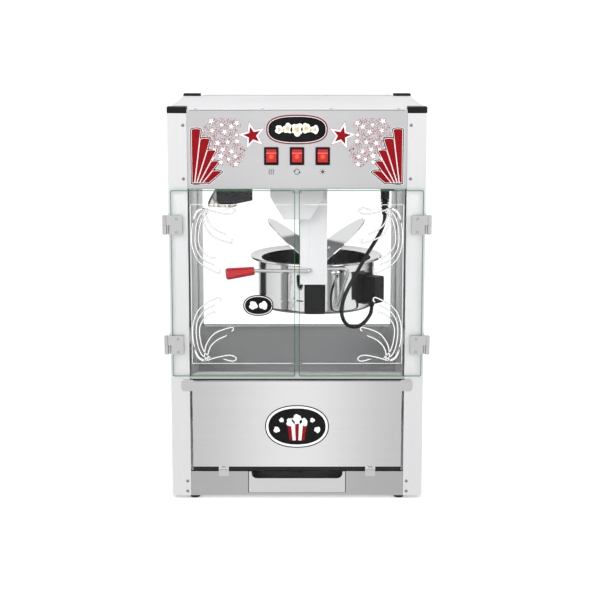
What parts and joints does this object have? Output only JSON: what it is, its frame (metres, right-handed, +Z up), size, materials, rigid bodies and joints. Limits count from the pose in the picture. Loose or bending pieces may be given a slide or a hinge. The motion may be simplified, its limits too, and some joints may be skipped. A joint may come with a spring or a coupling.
{
  "type": "popcorn maker",
  "caption": "Countertop popcorn maker with steel and glass cabinet, tilting lidded kettle, glass doors, fold-down serving flap, rocker switches and old-maids drawer.",
  "frame": {"origin": "on the floor under the middle of the cabinet's bounding box", "axes": "+Z up, front with doors and switches towards -Y, +X to the right seen from the front"},
  "size_m": [0.4756, 0.4518, 0.714],
  "materials": {
    "brushed_stainless": "fine brushed stainless sheet",
    "marquee_steel": "satin stainless sheet with printed artwork",
    "lid_steel": "pale satin sheet",
    "bright_stainless": "bright machined stainless",
    "polished_stainless": "mirror-polished stainless",
    "kettle_lining": "satin stainless, lightly heat-tinted",
    "screw_steel": "plated screws",
    "black_rubber": "matt black rubber",
    "black_plastic": "fine-grained black plastic",
    "clear_glass": "clear tempered glass with green edges",
    "grey_paint": "grey satin sheet",
    "catch_plastic": "translucent grey nylon",
    "black_paint": "semi-gloss black",
    "lamp_glass": "silvered reflector lamp with warm frosted face",
    "motor_paint": "grey enamel",
    "white_paint": "white powder coat",
    "lit_rocker": "lit translucent red plastic",
    "element_iron": "cast heater plate",
    "red_handle": "glossy red plastic"
  },
  "bodies": {
    "cabinet": {"base_pan": "brushed_stainless", "base_front_panel": "brushed_stainless", "feet": "black_rubber", "front_left_post": "brushed_stainless", "front_right_post": "brushed_stainless", "rear_left_post": "brushed_stainless", "rear_right_post": "brushed_stainless", "corner_caps": "black_plastic", "lower_side_panels": "brushed_stainless", "lower_rear_panel": "brushed_stainless", "left_side_glass": "clear_glass", "right_side_glass": "clear_glass", "rear_glass": "clear_glass", "glass_gaskets": "black_rubber", "marquee_panel": "marquee_steel", "header_side_panels": "brushed_stainless", "header_rear_panel": "brushed_stainless", "top_lid": "lid_steel", "ceiling_panel": "brushed_stainless", "bin_floor": "brushed_stainless", "bin_front_sill": "brushed_stainless", "cabinet_screws": "screw_steel", "hinge_leaves": "bright_stainless", "hinge_pins": "bright_stainless", "catch_plate": "grey_paint", "door_catch": "catch_plastic", "lamp_shield": "black_paint", "lamp_socket": "black_plastic", "lamp_bulb": "lamp_glass", "gear_motor": "motor_paint", "front_hanger": "white_paint", "hanger_foot": "black_plastic", "rear_hanger": "white_paint", "lead_gland": "black_plastic", "kettle_lead": "black_rubber", "switch_housings": "black_plastic", "mains_gland": "black_plastic", "drawer_runners": "brushed_stainless"},
    "left_door": {"left_door_glass": "clear_glass", "left_door_clips": "bright_stainless"},
    "right_door": {"right_door_glass": "clear_glass", "right_door_clips": "bright_stainless"},
    "flap": {"serving_flap": "brushed_stainless"},
    "drawer": {"old_maids_drawer": "brushed_stainless"},
    "heat_switch": {"heat_rocker": "lit_rocker"},
    "motor_switch": {"motor_rocker": "lit_rocker"},
    "light_switch": {"light_rocker": "lit_rocker"},
    "kettle": {"kettle_shell": "polished_stainless", "kettle_pot": "kettle_lining", "kettle_crossbar": "polished_stainless", "heating_element": "element_iron", "kettle_brackets": "kettle_lining", "handle_rod": "bright_stainless", "handle_grip": "red_handle", "kettle_socket": "black_plastic", "kettle_plug": "black_plastic"},
    "left_lid": {"left_kettle_lid": "polished_stainless"},
    "right_lid": {"right_kettle_lid": "polished_stainless"},
    "stirrer": {"agitator": "bright_stainless"},
    "coupler": {"drive_coupler": "bright_stainless"}
  },
  "joints": [
    {"name": "left_door_hinge", "type": "hinge", "parent": "cabinet", "child": "left_door", "pos_m": [-0.234, -0.2205, 0.4], "axis": [0, 0, -1], "range_deg": [0, 175]},
    {"name": "right_door_hinge", "type": "hinge", "parent": "cabinet", "child": "right_door", "pos_m": [0.234, -0.2205, 0.4], "axis": [0, 0, 1], "range_deg": [0, 175]},
    {"name": "flap_hinge", "type": "hinge", "parent": "cabinet", "child": "flap", "pos_m": [0, -0.2175, 0.058], "axis": [1, 0, 0], "range_deg": [0, 90]},
    {"name": "drawer_slide", "type": "slide", "parent": "cabinet", "child": "drawer", "axis": [0, -1, 0], "range_m": [0, 0.25]},
    {"name": "heat_switch_tilt", "type": "hinge", "parent": "cabinet", "child": "heat_switch", "pos_m": [-0.0452, -0.213, 0.628], "axis": [1, 0, 0], "range_deg": [0, 14]},
    {"name": "motor_switch_tilt", "type": "hinge", "parent": "cabinet", "child": "motor_switch", "pos_m": [0, -0.213, 0.628], "axis": [1, 0, 0], "range_deg": [0, 14]},
    {"name": "light_switch_tilt", "type": "hinge", "parent": "cabinet", "child": "light_switch", "pos_m": [0.0452, -0.213, 0.628], "axis": [1, 0, 0], "range_deg": [0, 14]},
    {"name": "kettle_tilt", "type": "hinge", "parent": "cabinet", "child": "kettle", "pos_m": [0.024, 0, 0.414], "axis": [0, -1, 0], "range_deg": [0, 100], "deforming": ["kettle_lead"]},
    {"name": "left_lid_hinge", "type": "hinge", "parent": "kettle", "child": "left_lid", "pos_m": [0.0255, 0, 0.424], "axis": [0, 1, 0], "range_deg": [-39, 30]},
    {"name": "right_lid_hinge", "type": "hinge", "parent": "kettle", "child": "right_lid", "pos_m": [0.0475, 0, 0.424], "axis": [0, -1, 0], "range_deg": [-39, 30]},
    {"name": "stirrer_spin", "type": "hinge", "parent": "kettle", "child": "stirrer", "pos_m": [0.0365, 0, 0.45], "axis": [0, 0, 1], "continuous": true},
    {"name": "coupler_spin", "type": "hinge", "parent": "cabinet", "child": "coupler", "pos_m": [0.0365, 0, 0.57], "axis": [0, 0, 1], "continuous": true}
  ],
  "couplings": [
    {"joint": "coupler_spin", "follows": "stirrer_spin", "ratio": 1}
  ]
}
